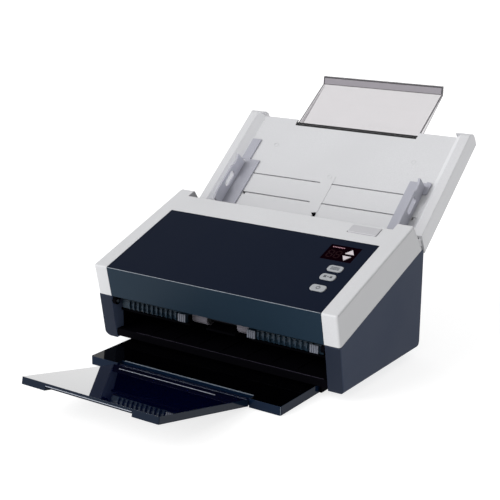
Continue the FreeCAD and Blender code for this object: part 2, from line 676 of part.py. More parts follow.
def chute_front_shell():
    """Paper floor, sloping inner sides, rims and outer walls in one moulding."""
    floor = box(-FLOOR_X - 1, FLOOR_X + 1, -6, FLOOR_END, FLOOR_N - FLOOR_T, FLOOR_N)
    floor = floor.cut(box(-EXTENSION_X - .5, EXTENSION_X + .5, NOTCH_S, 160, -12, 0))
    section = [(FLOOR_X, FLOOR_N - FLOOR_T), (FLOOR_X, FLOOR_N), (RIM_X, 0), (CHUTE_X, 0),
               (CHUTE_X, -CHUTE_DEPTH), (CHUTE_X - 2.2, -CHUTE_DEPTH), (CHUTE_X - 2.2, -2.2),
               (RIM_X + .9, -2.2), (FLOOR_X + .9, FLOOR_N - FLOOR_T)]
    corners = [V(x, -8, n) for x, n in section]
    side = Part.Face(Part.makePolygon(corners + corners[:1])).extrude(V(0, 170, 0))
    side = side.common(prism(chute_side_outline(), 100, 160))
    cap = prism(CHUTE_CORNER[1:] + [(154.6, -CHUTE_DEPTH), (152.6, -1.2)], FLOOR_X + .5, CHUTE_X)
    end = prism([(-6.3, -CHUTE_DEPTH), (0, 0), (1.6, 0), (-4.7, -CHUTE_DEPTH)], 149, CHUTE_X)
    side = rounded(side, 1.0, lambda m, d: abs(m.x - CHUTE_X) < .01 and abs(m.z) < .01)
    end = end.cut(rod(chute_pivot(), 2.0, 148, 151.6))
    side = join([side, cap, end] + chute_lugs())
    shell = join([floor, side, mirrored(side)])
    for s in (SLOT_LOW, SLOT_HIGH):
        for x0, x1 in ((-116.5, -8), (8, 116.5)):
            shell = shell.cut(box(x0, x1, s - .8, s + .8, -12, 0))
    shell = shell.cut(box(-103.8, -100.2, SLOT_LOW - 3.4, SLOT_LOW, -12, 0))
    shell = shell.cut(box(127.2, 129.4, SLOT_LOW - 3.4, SLOT_LOW + .8, -12, 0))
    shell = shell.cut(box(129.3, 132.2, SLOT_LOW, SLOT_LOW + .8, -12, 0))
    shell = shell.cut(box(4.1, 8.3, 4.6, 14.6, -12, 0))
    shell = shell.cut(box(8.7, 9.1, 15, 71, FLOOR_N - .3, 0))
    for x, s in ((-96, 108), (96, 108), (0, 69.6)):
        ring = Part.makeCylinder(3.4, .2, V(x, s, FLOOR_N)).cut(Part.makeCylinder(2.4, 1, V(x, s, FLOOR_N)))
        shell = shell.fuse(ring)
    pivot = Part.makeCylinder(3.0, 5.0, V(0, PINION_S, RACK_N[0] - .4))
    posts = [box(x - .8, x + .8, 11, 15, -15.5, FLOOR_N - FLOOR_T + .01) for x in (1.9, 10.5)]
    posts = [post.cut(rod(SENSOR_PIVOT, .8, 0, 12)) for post in posts]
    return on_chute(join([shell, pivot] + posts))


def chute_back_shell():
    plate = box(-CHUTE_X + 2.4, CHUTE_X - 2.4, -5, 146.4, -CHUTE_DEPTH, -20.6)
    foot = prism([(-6, -10.5), (-4, -10.5), (-3, -20.7), (-5, -20.7)], -FLOOR_X, FLOOR_X)
    ribs = [box(x - 1, x + 1, 0, 26, -20.6, -15.6) for x in (-90, -45, 45, 90)]
    ends = [box(x0, x1, 144.4, 146.4, -20.7, -10.5) for x0, x1 in ((-FLOOR_X, -87), (87, FLOOR_X))]
    plate = join([plate, foot] + ribs + ends)
    slot = box(139.5, CHUTE_X, -8, 8, -24, -9)
    return on_chute(plate.cut(slot).cut(mirrored(slot)))


def chute_pins():
    return both_sides(rod(CHUTE_PIVOT, 2.0, 141.4, 151.4))


def fence_outline():
    """Guide fence in (s, n): a pointed top end and a stepped upper edge."""
    low = FLOOR_N + .3
    return [(.5, low), (72.5, low), (71.5, low + 9), (69.5, low + GUIDE_H + .6), (64, low + GUIDE_H - 3),
            (55, low + GUIDE_H - 3.6), (51, low + GUIDE_H - 1), (20, low + GUIDE_H - 1),
            (6, low + GUIDE_H - 1.5), (.5, low + GUIDE_H - 4)]


def guide(side):
    """One paper guide: resting plate, fence, necks through the floor slots, carriage and rack."""
    low = FLOOR_N + .3
    plate = box(105, GUIDE_X + 2.5, 7, 78, low, low + 1.8)
    fence = prism(fence_outline(), GUIDE_X, GUIDE_X + 2.6)
    hole_end = Part.makeCylinder(4.6, 4.0, V(GUIDE_X - .6, 30, low + 10.5), V(1, 0, 0))
    finger_hole = join([hole_end, hole_end.translated(V(0, 14, 0)),
                        box(GUIDE_X - .6, GUIDE_X + 3.4, 30, 44, low + 5.9, low + 15.1)])
    fence = fence.cut(finger_hole)
    if side < 0:
        tab = box(119.8, 132.2, 78, 112, low, low + 1.6)
    else:
        tab = box(GUIDE_X + 2, 132.2, 62, 80, low, low + 1.8)
        tab = rounded(tab, 3.0, lambda m, d: abs(d.z) > .9 and m.x > 130)
    necks = [box(105.5, 115.5, s - .5, s + .5, RACK_N[0] - 3.4, low) for s in (SLOT_LOW, SLOT_HIGH)]
    cross = box(105.5, 115.5, SLOT_LOW - .5, SLOT_HIGH + .5, RACK_N[0] - 3.4, RACK_N[0] - .4)
    body = join([plate, fence, tab, cross] + necks)
    if side < 0:
        body = mirrored(body)
    return on_chute(join([body, rack(side)]))


def rack(side):
    """Toothed bar under the floor; the left one passes above the pinion, the right one below."""
    pitch = math.pi * MODULE
    line = PINION_S - side * PINION_R
    reach = SLOT_HIGH - .9 if side < 0 else SLOT_LOW + .9
    bar_edge = line - side * MODULE * 1.3
    s0, s1 = sorted((reach, bar_edge))
    bar = box(-12, 115.5, s0, s1, *RACK_N)
    teeth = []
    tip, root = line + side * MODULE * .85, bar_edge - side * .05
    for index in range(26):
        x = pitch * (index - 2)
        corners = [(x - 1.6, root), (x + 1.6, root), (x + .42, tip), (x - .42, tip)]
        wire = [V(a, b, RACK_N[0]) for a, b in corners]
        teeth.append(Part.Face(Part.makePolygon(wire + wire[:1])).extrude(V(0, 0, RACK_N[1] - RACK_N[0])))
    bar = join([bar] + teeth)
    tie = box(105.5, 115.5, s0, s1, RACK_N[0] - 1, RACK_N[1])
    bar = join([bar, tie])
    return bar if side > 0 else mirrored(bar)


def guide_pinion():
    """Spur pinion between the racks, gaps facing their teeth at rest."""
    root_r, tip_r = PINION_R - MODULE * 1.25, PINION_R + MODULE * .85
    wheel = Part.makeCylinder(root_r, RACK_N[1] - RACK_N[0], V(0, PINION_S, RACK_N[0]))
    step = 2 * math.pi / PINION_TEETH
    teeth = []
    for index in range(PINION_TEETH):
        middle = math.pi / 2 + (index + .5) * step
        corners = []
        flank = ((root_r - .2, .235), (PINION_R - .6, .165), (PINION_R + .2, .112), (tip_r, .045))
        for radius, half in flank:
            corners.append((radius, half))
        outline = [(r, middle - h) for r, h in corners] + [(r, middle + h) for r, h in reversed(corners)]
        wire = [V(r * math.cos(a), PINION_S + r * math.sin(a), RACK_N[0]) for r, a in outline]
        teeth.append(Part.Face(Part.makePolygon(wire + wire[:1])).extrude(V(0, 0, RACK_N[1] - RACK_N[0])))
    wheel = join([wheel] + teeth)
    return on_chute(wheel.cut(Part.makeCylinder(3.0 + FIT, 8, V(0, PINION_S, RACK_N[0] - 2))))


def chute_extension():
    """Clear plate that slides out of the chute, with tapered side flanges and a raised lip."""
    tilt = math.radians(EXTENSION_TILT)
    start = (NOTCH_S, -11.3)
    out = (start[0] + EXTENSION_LENGTH * math.cos(tilt), start[1] - EXTENSION_LENGTH * math.sin(tilt))
    plate = prism([(134, -11.0), (start[0], start[1]), out, (out[0] - .1, out[1] - 2.0),
                   (start[0], start[1] - 2.0), (134, -13.0)], -EXTENSION_X, EXTENSION_X)
    up = math.radians(84 - CHUTE_SLOPE)
    top = (out[0] + EXTENSION_LIP * math.cos(up), out[1] + EXTENSION_LIP * math.sin(up))
    lip = prism([out, top, (top[0] + 1.6, top[1] - .9), (out[0] + 1.6, out[1] - 2.2),
                 (out[0] - .1, out[1] - 2.0)], -EXTENSION_X, EXTENSION_X)
    flange = prism([(134, -11.2), (start[0], start[1] - .2), (out[0], out[1] - .2), (out[0], out[1] - 2.4),
                    (start[0], start[1] - 7.6), (134, -19.2)], EXTENSION_X - 2.0, EXTENSION_X)
    return on_chute(join([plate, lip, flange, mirrored(flange)]))


def sensor_flag():
    pin = rod(SENSOR_PIVOT, .75, 1.3, 11.1)
    arm = prism([(11, -14.4), (14.6, -14.4), (14.2, -10.6), (9.8, -2.6), (8.8, -2.6)], 4.4, 8.0)
    corners = [V(4.5, 0, -15), V(7.9, 0, -15), V(7.9, 0, -9.5), V(6.6, 0, -2), V(5.8, 0, -2),
               V(4.5, 0, -9.5)]
    taper = Part.Face(Part.makePolygon(corners + corners[:1])).extrude(V(0, 30, 0))
    return on_chute(join([pin, arm.common(taper)]))


# --- output tray ---------------------------------------------------------------------------
def output_tray():
    """Drawer under the body, with a recess for the flap's hinge between its two end blocks."""
    low, high = TRAY_Z
    slab = box(-TRAY_X, TRAY_X, TRAY_FRONT, TRAY_REAR, low, high)
    slab = rounded(slab, 2.0, lambda m, d: abs(d.z) > .9 and m.y < 0)
    slab = slab.cut(box(-TRAY_X + 12, TRAY_X - 12, -40, TRAY_REAR - 4, low - 1, high - 2.6))
    ribs = [box(x - 1, x + 1, -41, TRAY_REAR - 3, low, high - 2.5) for x in (-72, -36, 0, 36, 72)]
    slab = join([slab] + ribs)
    slab = slab.cut(box(-FLAP_X - .6, FLAP_X + .6, TRAY_FRONT - 1, -50.6, low - 1, high + 1))
    tongue = box(TRAY_X - 1, 125.3, 18, TRAY_REAR, -5.8, -2.6)
    slab = join([slab, tongue, mirrored(tongue)])
    return slab.cut(rod(FLAP_AXIS, 1.5 + FIT, -FLAP_X - 7, FLAP_X + 7))


def tray_extension():
    """Flap that carries long sheets: thin skin, deep edges and a finger notch in front."""
    skin = box(-FLAP_X, FLAP_X, -FLAP_LENGTH, -1.0, -FLAP_T, 0)
    skin = rounded(skin, 1.5, lambda m, d: abs(d.z) > .9 and m.y < -100)
    skin = skin.cut(box(-FLAP_X + 5, FLAP_X - 5, -FLAP_LENGTH + 14, -12, -FLAP_T - 1, -2.6))
    skin = skin.cut(box(-54, 54, -FLAP_LENGTH - 1, -FLAP_LENGTH + 10, -FLAP_T - 1, -3.2))
    ribs = [box(x - 1, x + 1, -FLAP_LENGTH + 13, -11, -FLAP_T + 1, -2.5) for x in (-42, 0, 42)]
    plate = join([skin] + ribs)
    plate.rotate(V(0, 0, 0), V(1, 0, 0), -FLAP_SLOPE)
    plate.translate(V(0, FLAP_AXIS[0] - 1.2, FLAP_AXIS[1] + 3.6))
    knuckle = rod(FLAP_AXIS, 3.6, -FLAP_X, FLAP_X)
    pin = rod(FLAP_AXIS, 1.5, -FLAP_X - 6, FLAP_X + 6)
    return join([plate, knuckle, pin])


# --- the list of pieces --------------------------------------------------------------------
NODES = {
    "base_bottom": base_bottom,
    "left_side_shell": left_side_shell,
    "right_side_shell": right_side_shell,
    "rear_shell": rear_shell,
    "bay_floor": bay_floor,
    "bay_liner": bay_liner,
    "exit_guide": exit_guide,
    "lower_path_plate": lower_path_plate,
    "lower_scan_module": lower_scan_module,
    "lower_scan_glass": lower_scan_glass,
    "main_board": main_board,
    "drive_motor": drive_motor,
    "drive_belt": drive_belt,
    "motor_belt": motor_belt,
    "shaft_bushes": shaft_bushes,
    "tray_rails": tray_rails,
    "feet": feet,
    "base_screws": base_screws,
    "dc_jack": dc_jack,
    "usb_port": usb_port,
    "cover_hinge_pins": cover_hinge_pins,
    "exit_shaft": lambda: drive_shaft(EXIT_T, 148.6),
    "exit_rollers": lambda: drive_rollers(EXIT_T),
    "exit_pulley": lambda: shaft_pulley(EXIT_T),
    "transport_shaft": lambda: drive_shaft(TRANSPORT_T, 148.6),
    "transport_rollers": lambda: drive_rollers(TRANSPORT_T),
    "transport_pulley": lambda: shaft_pulley(TRANSPORT_T),
    "feed_shaft": lambda: drive_shaft(FEED_T, 154.0),
    "feed_rollers": lambda: drive_rollers(FEED_T),
    "feed_pulley": feed_pulley,
    "motor_pulley": motor_pulley,
    "separation_roller": separation_roller,
    "cover_shell": cover_shell,
    "top_panel": top_panel,
    "front_panel": front_panel,
    "cover_inner": cover_inner,
    "upper_scan_module": upper_scan_module,
    "upper_scan_glass": upper_scan_glass,
    "control_board": control_board,
    "display_window": display_window,
    "rear_key": lambda: oblong_key(KEY_PLACES[0]),
    "middle_key": lambda: oblong_key(KEY_PLACES[1]),
    "front_key": lambda: oblong_key(KEY_PLACES[2]),
    "up_key": lambda: arrow_key(UP_KEY, True),
    "down_key": lambda: arrow_key(DOWN_KEY, False),
    "release_button": release_button,
    "exit_idlers": lambda: idlers(EXIT_T),
    "feed_idlers": lambda: idlers(FEED_T),
    "idler_holders": idler_holders,
    "pick_roller": pick_roller,
    "chute_front_shell": chute_front_shell,
    "chute_back_shell": chute_back_shell,
    "chute_pins": chute_pins,
    "left_guide": lambda: guide(-1),
    "right_guide": lambda: guide(1),
    "guide_pinion": guide_pinion,
    "chute_extension": chute_extension,
    "sensor_flag": sensor_flag,
    "output_tray": output_tray,
    "tray_extension": tray_extension,
}


def main():
    os.makedirs("parts", exist_ok=True)
    for name, make in NODES.items():
        shape = make()
        shape.translate(PLACE)
        shape.exportStep("parts/" + name + ".step")
        bad = [solid for solid in shape.Solids if not solid.isValid()]
        extent = shape.BoundBox
        print(name, len(shape.Solids), "solids", "INVALID" if bad else "ok", "volume %.0f" % shape.Volume,
              "y %.1f..%.1f z %.1f..%.1f" % (extent.YMin, extent.YMax, extent.ZMin, extent.ZMax))


main()
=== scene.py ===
"""Looks of the sheet fed document scanner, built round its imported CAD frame, in metres and in its axes."""
import json
import math

import bmesh
import bpy
from mathutils import Matrix, Vector


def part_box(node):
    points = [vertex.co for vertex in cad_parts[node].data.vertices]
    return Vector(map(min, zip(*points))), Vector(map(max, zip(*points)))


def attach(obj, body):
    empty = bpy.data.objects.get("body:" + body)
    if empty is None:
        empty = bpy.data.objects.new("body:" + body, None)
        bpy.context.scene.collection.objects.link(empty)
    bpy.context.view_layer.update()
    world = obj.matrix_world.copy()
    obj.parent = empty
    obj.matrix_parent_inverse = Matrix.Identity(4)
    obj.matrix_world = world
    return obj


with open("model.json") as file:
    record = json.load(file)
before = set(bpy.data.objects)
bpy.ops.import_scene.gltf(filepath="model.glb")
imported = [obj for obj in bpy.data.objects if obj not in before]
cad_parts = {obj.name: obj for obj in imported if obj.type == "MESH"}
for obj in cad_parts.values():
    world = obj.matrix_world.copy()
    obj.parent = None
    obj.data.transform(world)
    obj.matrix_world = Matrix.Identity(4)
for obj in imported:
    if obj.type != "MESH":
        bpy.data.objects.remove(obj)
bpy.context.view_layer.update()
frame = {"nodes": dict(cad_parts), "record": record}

MM = 0.001

# --- slopes of the CAD model, and the points on its middle plane that they start from ----------------
COVER_SLOPE = math.radians(19.5)                 # top panel and paper path, rising to the rear
CHUTE_SLOPE = math.radians(39.4)                 # input chute, rising to the rear
FLAP_SLOPE = math.radians(12.6)                  # tray flap, rising to the front
FRONT_LEAN = math.radians(12.6)                  # front panel, off the upright
EXTENSION_TILT = math.radians(3.7)               # clear extension, flatter than the chute
LIP_SLOPE = math.radians(84.0)                   # lip at the extension's end, nearly upright
COVER_FOOT = Vector((0, -93.8, 97.9)) * MM       # front edge of the top panel
CHUTE_FOOT = Vector((0, 98.17, 138.02)) * MM     # foot of the chute's rims
PATH_FOOT = Vector((0, -64.7, 58.0)) * MM        # start of the lower paper path
FLAP_FOOT = Vector((0, -138.5, 8.9)) * MM        # rear edge of the flap's top
EXTENSION_FOOT = (146.0, -11.3)                  # where the extension leaves the chute, in on_chute's s and n
EXTENSION_LENGTH = 78.8                          # from there to its lip

# --- sizes that several pieces share, mm -----------------------------------------------------------
EXIT_T, TRANSPORT_T, FEED_T = 3.5, 45.0, 100.0   # the shafts' places along the paper path
SHAFT_DEPTH = 7.7                                # below the path's surface
TYRE_X, TYRE_HALF = 30.0, 10.0                   # middle and half width of each shaft's two tyres
RIB_PITCH = 2.6                                  # of the exit lip's ribs and the chute's vents
CHUTE_BACK = -22.5                               # just inside the chute's rear face, in on_chute's n
REAR_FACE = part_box("rear_shell")[1].y / MM

# --- camera ------------------------------------------------------------------------------------
CAMERA_AZIMUTH = math.radians(33.892)
CAMERA_ELEVATION = math.radians(15.449)
CAMERA_ROLL = math.radians(0.5266)
CAMERA_DISTANCE = 1.313585
CAMERA_TARGET = Vector((-14.594, 8.3, 115.069)) * MM
CAMERA_LENS = 84.02


# --- node helpers ------------------------------------------------------------------------------
class Nodes:
    """A node tree with a short way to add and wire nodes."""

    def __init__(self, tree, coordinates):
        self.tree = tree
        self.place = tree.nodes.new("ShaderNodeTexCoord").outputs[coordinates]

    def add(self, kind, **settings):
        node = self.tree.nodes.new(kind)
        for key, value in settings.items():
            setattr(node, key, value)
        return node

    def wire(self, source, target):
        self.tree.links.new(source, target)

    def remap(self, value, low, high, to_low, to_high):
        """The value's range from low to high stretched onto another, and held at its ends."""
        node = self.add("ShaderNodeMapRange")
        self.wire(value, node.inputs["Value"])
        for key, number in (("From Min", low), ("From Max", high), ("To Min", to_low), ("To Max", to_high)):
            node.inputs[key].default_value = number
        return node.outputs["Result"]

    def times(self, first, second):
        node = self.add("ShaderNodeMath", operation="MULTIPLY")
        self.wire(first, node.inputs[0])
        self.wire(second, node.inputs[1])
        return node.outputs[0]

    def split(self, vector):
        """The X, Y and Z parts of a vector socket."""
        node = self.add("ShaderNodeSeparateXYZ")
        self.wire(vector, node.inputs["Vector"])
        return node.outputs


class Surface(Nodes):
    """A material with its principled shader."""

    def __init__(self, name):
        self.material = bpy.data.materials.new(name)
        self.material.use_nodes = True
        super().__init__(self.material.node_tree, "Object")
        self.shader = self.tree.nodes["Principled BSDF"]

    def set(self, **values):
        """Uniform values, straight on the shader's inputs."""
        for key, value in values.items():
            self.shader.inputs[key.replace("_", " ")].default_value = value

    def drive(self, **sockets):
        """Sockets wired into the shader's inputs."""
        for key, socket in sockets.items():
            self.wire(socket, self.shader.inputs[key.replace("_", " ")])

    def stretched(self, scale):
        """Object coordinates scaled apart along each axis."""
        node = self.add("ShaderNodeMapping")
        node.inputs["Scale"].default_value = scale
        self.wire(self.place, node.inputs["Vector"])
        return node.outputs["Vector"]

    def noise(self, scale, detail=2.0, roughness=0.5, place=None):
        node = self.add("ShaderNodeTexNoise")
        node.inputs["Scale"].default_value = scale
        node.inputs["Detail"].default_value = detail
        node.inputs["Roughness"].default_value = roughness
        self.wire(place or self.place, node.inputs["Vector"])
        return node.outputs["Fac"]

    def mix(self, factor, first, second):
        """Colour between two, each a colour or a socket."""
        node = self.add("ShaderNodeMix", data_type="RGBA")
        self.wire(factor, node.inputs["Factor"])
        for socket, value in ((node.inputs[6], first), (node.inputs[7], second)):
            if hasattr(value, "links"):
                self.wire(value, socket)
            else:
                socket.default_value = (*value[:3], 1.0)
        return node.outputs[2]

    def mottled(self, value, first, second):
        """Colour that runs from one to the other over the middle of a noise's range."""
        return self.mix(self.remap(value, 0.3, 0.7, 0.0, 1.0), first, second)

    def soft_edge(self, radius):
        """Normal of the surface with its sharp edges rounded over a radius in millimetres."""
        node = self.add("ShaderNodeBevel", samples=4)
        node.inputs["Radius"].default_value = radius * MM
        return node.outputs["Normal"]

    def edge_mask(self, rounded, sharpness):
        """1 along edges and 0 on plain faces."""
        dot = self.add("ShaderNodeVectorMath", operation="DOT_PRODUCT")
        self.wire(rounded, dot.inputs[0])
        self.wire(self.add("ShaderNodeNewGeometry").outputs["Normal"], dot.inputs[1])
        return self.remap(dot.outputs["Value"], 1.0, sharpness, 0.0, 1.0)

    def true_normal(self):
        return self.split(self.add("ShaderNodeNewGeometry").outputs["True Normal"])

    def facing(self, axis):
        """Size of the true normal's part along an axis, 0 to 2."""
        size = self.add("ShaderNodeMath", operation="ABSOLUTE")
        self.wire(self.true_normal()[axis], size.inputs[0])
        return size.outputs[0]

    def inward(self):
        """Mask for painted light: 1 on the left hand walls' faces that look toward the middle plane, 0
        elsewhere.
        """
        across = self.split(self.place)["X"]
        looks_in = self.remap(self.times(self.true_normal()["X"], across), -0.03, -0.07, 0.0, 1.0)
        on_the_left = self.remap(across, -0.02, -0.04, 0.0, 1.0)
        return self.times(looks_in, on_the_left)

    def bump(self, height, strength, depth, normal=None):
        """Normal with the height's relief, its depth in millimetres."""
        node = self.add("ShaderNodeBump")
        node.inputs["Strength"].default_value = strength
        node.inputs["Distance"].default_value = depth * MM
        self.wire(height, node.inputs["Height"])
        if normal is not None:
            self.wire(normal, node.inputs["Normal"])
        return node.outputs["Normal"]


def shade(colour, amount):
    return tuple(min(1.0, channel * amount) for channel in colour[:3])


# --- kinds of material -------------------------------------------------------------------------
def moulded(name, colour, roughness, specular, grain=1100.0, relief=0.25, edge_highlight=1.25, side=None, inward=None):
    """Injection moulded plastic: eroded grain, faint clouding, softened edges painted lighter as a highlight.

    side gives an axis and how much lighter or darker the texture is on faces that look along it, painted
    light and shade for how the light falls on them; inward does the same, as painted light, for the left hand
    walls' faces that look toward the middle plane.
    """
    mottle = 0.05
    s = Surface(name)
    rounded = s.soft_edge(0.5)
    clouded = s.mottled(s.noise(7.0, 3.0), shade(colour, 1 - mottle), shade(colour, 1 + mottle))
    specks = s.remap(s.noise(grain * 0.7, 1.0), 0.35, 0.65, 0.0, 1.0)
    body = s.mix(specks, shade(colour, 1 - mottle * 0.6), clouded)
    # Painted light and shade: faces that look along the side axis take the colour times its factor.
    if side:
        body = s.mix(s.remap(s.facing(side[0]), 0.5, 0.9, 0.0, 1.0), body, shade(colour, side[1]))
    # Painted light: the left hand walls' faces that look toward the middle take the colour times the inward
    # factor.
    if inward:
        body = s.mix(s.inward(), body, shade(colour, inward))
    # Painted highlight: edges take the colour lightened by the edge factor.
    s.drive(Base_Color=s.mix(s.edge_mask(rounded, 0.75), body, shade(colour, edge_highlight)),
            Roughness=s.remap(s.noise(14.0, 4.0), 0.3, 0.7, roughness * 0.92, min(1.0, roughness * 1.1)),
            Normal=s.bump(s.noise(grain, 2.0, 0.6), relief, 0.03, rounded))
    s.set(Specular_IOR_Level=specular, IOR=1.5)
    return s.material


def polished(name, top, side, roughness, ior, coat=0.0):
    """Polished black plastic: faint wiping marks; upright faces get a lighter, bluer colour as painted light
    and reflection, and the edges thin painted highlights.
    """
    s = Surface(name)
    rounded = s.soft_edge(0.5)
    wiped = s.noise(30.0, 5.0, 0.6, s.stretched((0.6, 6.0, 1.0)))
    flat = s.mottled(s.noise(6.0, 3.0), shade(top, 0.8), shade(top, 1.2))
    # Painted light and reflection: upright faces take the lighter, bluer side colour.
    body = s.mix(s.remap(s.facing(2), 0.75, 0.35, 0.0, 1.0), flat, side)
    # Painted highlight: edges take the side colour lightened 2.5 times.
    s.drive(Base_Color=s.mix(s.edge_mask(rounded, 0.8), body, shade(side, 2.5)),
            Roughness=s.remap(wiped, 0.35, 0.75, roughness, roughness * 2.2),
            Normal=s.bump(s.noise(260.0, 1.0), 0.04, 0.01, rounded))
    s.set(IOR=ior, Coat_Weight=coat, Coat_Roughness=0.02)
    return s.material


def clear(name, colour, roughness, rim_colour, rim, dark_end=None):
    """Clear tinted plastic or glass: wiping marks, darker edges, and a darker end between two heights."""
    s = Surface(name)
    wiped = s.noise(25.0, 4.0, 0.6, s.stretched((1.0, 5.0, 5.0)))
    tint = s.mottled(wiped, shade(colour, 0.97), colour)
    if dark_end:
        height = s.split(s.place)["Z"]
        tint = s.mix(s.remap(height, dark_end[0], dark_end[1], 0.0, 1.0), tint, shade(colour, 0.45))
    s.drive(Base_Color=s.mix(s.edge_mask(s.soft_edge(rim), 0.8), tint, rim_colour),
            Roughness=s.remap(wiped, 0.35, 0.75, roughness, roughness * 2.0))
    s.set(Transmission_Weight=0.95, IOR=1.49)
    return s.material


def rubber(name, colour, grooves=0.0):
    """Ground rubber, with the fine grooves of a feed roller where asked."""
    s = Surface(name)
    crumbs = s.noise(900.0, 3.0, 0.7)
    height = crumbs
    if grooves:
        wave = s.add("ShaderNodeTexWave", wave_type="BANDS", bands_direction="X", wave_profile="SIN")
        wave.inputs["Scale"].default_value = grooves
        s.wire(s.place, wave.inputs["Vector"])
        height = wave.outputs["Fac"]
    s.drive(Base_Color=s.mottled(crumbs, shade(colour, 0.7), shade(colour, 1.25)),
            Roughness=s.remap(crumbs, 0.3, 0.7, 0.7, 0.9),
            Normal=s.bump(height, 0.6, 0.15, s.soft_edge(0.4)))
    s.set(Specular_IOR_Level=0.3)
    return s.material


def ground_metal(name, colour, roughness):
    """Turned or ground metal with lines round its shaft."""
    s = Surface(name)
    lines = s.noise(700.0, 3.0, 0.6, s.stretched((1.0, 0.04, 0.04)))
    s.drive(Base_Color=s.mottled(lines, shade(colour, 0.8), shade(colour, 1.1)),
            Roughness=s.remap(lines, 0.3, 0.7, roughness * 0.7, roughness * 1.3),
            Normal=s.bump(lines, 0.2, 0.02, s.soft_edge(0.3)))
    s.set(Metallic=1.0)
    return s.material


def circuit(name, colour, track_colour):
    """Green solder mask over copper tracks."""
    s = Surface(name)
    cells = s.add("ShaderNodeTexVoronoi", distance="MANHATTAN", feature="DISTANCE_TO_EDGE")
    cells.inputs["Scale"].default_value = 130.0
    s.wire(s.place, cells.inputs["Vector"])
    track = s.remap(cells.outputs["Distance"], 0.02, 0.06, 1.0, 0.0)
    s.drive(Base_Color=s.mix(track, colour, track_colour),
            Roughness=s.remap(s.noise(60.0), 0.3, 0.7, 0.3, 0.45),
            Normal=s.bump(track, 0.3, 0.03))
    return s.material


# --- materials ---------------------------------------------------------------------------------
def slot_materials():
    """One finished material for each of the record's slots."""
    lip_heights = (0.2705, 0.2784)
    return {
        # Painted shade: white_shell's faces that look along X are darker.
        "white_shell": moulded("white_shell_finish", (0.59, 0.593, 0.608), 0.5, 0.4, edge_highlight=1.06,
                               side=(0, 0.83)),
        # Painted shade and light: slate_shell's faces along Y are darker, its left inner walls lighter.
        "slate_shell": moulded("slate_shell_finish", (0.033, 0.044, 0.074), 0.55, 0.08, edge_highlight=1.8,
                               side=(1, 0.46), inward=2.6),
        "slate_panel": moulded("slate_panel_finish", (0.011, 0.024, 0.040), 0.45, 0.1, edge_highlight=2.0),
        "navy_panel": moulded("navy_panel_finish", (0.0040, 0.0074, 0.0185), 0.45, 0.03, edge_highlight=2.5),
        # Painted light and reflection: black_gloss's second colour is for its upright faces.
        "black_gloss": polished("black_gloss_finish", (0.0003, 0.0003, 0.0006), (0.0028, 0.009, 0.024),
                                0.04, 1.18),
        "black_inner": moulded("black_inner_finish", (0.0012, 0.0011, 0.0020), 0.7, 0.015, edge_highlight=1.5),
        # Painted light: grey_guide's faces along X and its left inner walls are lighter.
        "grey_guide": moulded("grey_guide_finish", (0.35, 0.353, 0.40), 0.45, 0.4, edge_highlight=1.1,
                              side=(0, 1.15), inward=2.0),
        "clear_smoke": clear("clear_smoke_finish", (0.67, 0.652, 0.668), 0.05, (0.05, 0.045, 0.055), 1.2,
                             lip_heights),
        "scan_glass": clear("scan_glass_finish", (0.72, 0.80, 0.80), 0.02, (0.30, 0.42, 0.40), 0.4),
        "silver_key": moulded("silver_key_finish", (0.34, 0.355, 0.375), 0.35, 0.5, edge_highlight=1.2),
        "grey_rubber": rubber("grey_rubber_finish", (0.20, 0.19, 0.22), 260.0),
        "black_rubber": rubber("black_rubber_finish", (0.012, 0.012, 0.013)),
        "steel": ground_metal("steel_finish", (0.55, 0.55, 0.57), 0.28),
        "bronze": ground_metal("bronze_finish", (0.55, 0.36, 0.16), 0.4),
        "pulley_plastic": moulded("pulley_plastic_finish", (0.62, 0.60, 0.54), 0.45, 0.4),
        "circuit_board": circuit("circuit_board_finish", (0.01, 0.09, 0.035), (0.10, 0.30, 0.12)),
    }


def node_materials():
    """Finishes of the nodes that look unlike the rest of their slot."""
    arrow = moulded("arrow_key_finish", (0.60, 0.54, 0.57), 0.35, 0.4, edge_highlight=1.1)
    # Painted light: the chute's faces along X and its left inner walls are lighter.
    chute = moulded("chute_finish", (0.55, 0.552, 0.568), 0.5, 0.4, edge_highlight=1.05, side=(0, 1.12), inward=1.42)
    return {
        "chute_front_shell": chute,
        "chute_back_shell": chute,
        # Painted light and reflection: the flap's second colour is for its upright faces.
        "tray_extension": polished("flap_finish", (0.0004, 0.0012, 0.010), (0.0035, 0.009, 0.021),
                                   0.05, 1.22),
        "display_window": moulded("display_window_finish", (0.0036, 0.0004, 0.0019), 0.5, 0.0,
                                  grain=400.0, relief=0.03),
        "exit_guide": moulded("exit_guide_finish", (0.010, 0.022, 0.036), 0.4, 0.2, edge_highlight=3.0),
        # Painted shade: the exit shaft is coloured near black for the shade it sits in, so it shows no bright
        # reflection.
        "exit_shaft": ground_metal("shaded_shaft_finish", (0.02, 0.02, 0.025), 0.45),
        "release_button": moulded("release_button_finish", (0.47, 0.468, 0.49), 0.4, 0.4, edge_highlight=1.15),
        "up_key": arrow,
        "down_key": arrow,
        "chute_pins": moulded("chute_pin_finish", (0.55, 0.555, 0.57), 0.45, 0.4),
    }


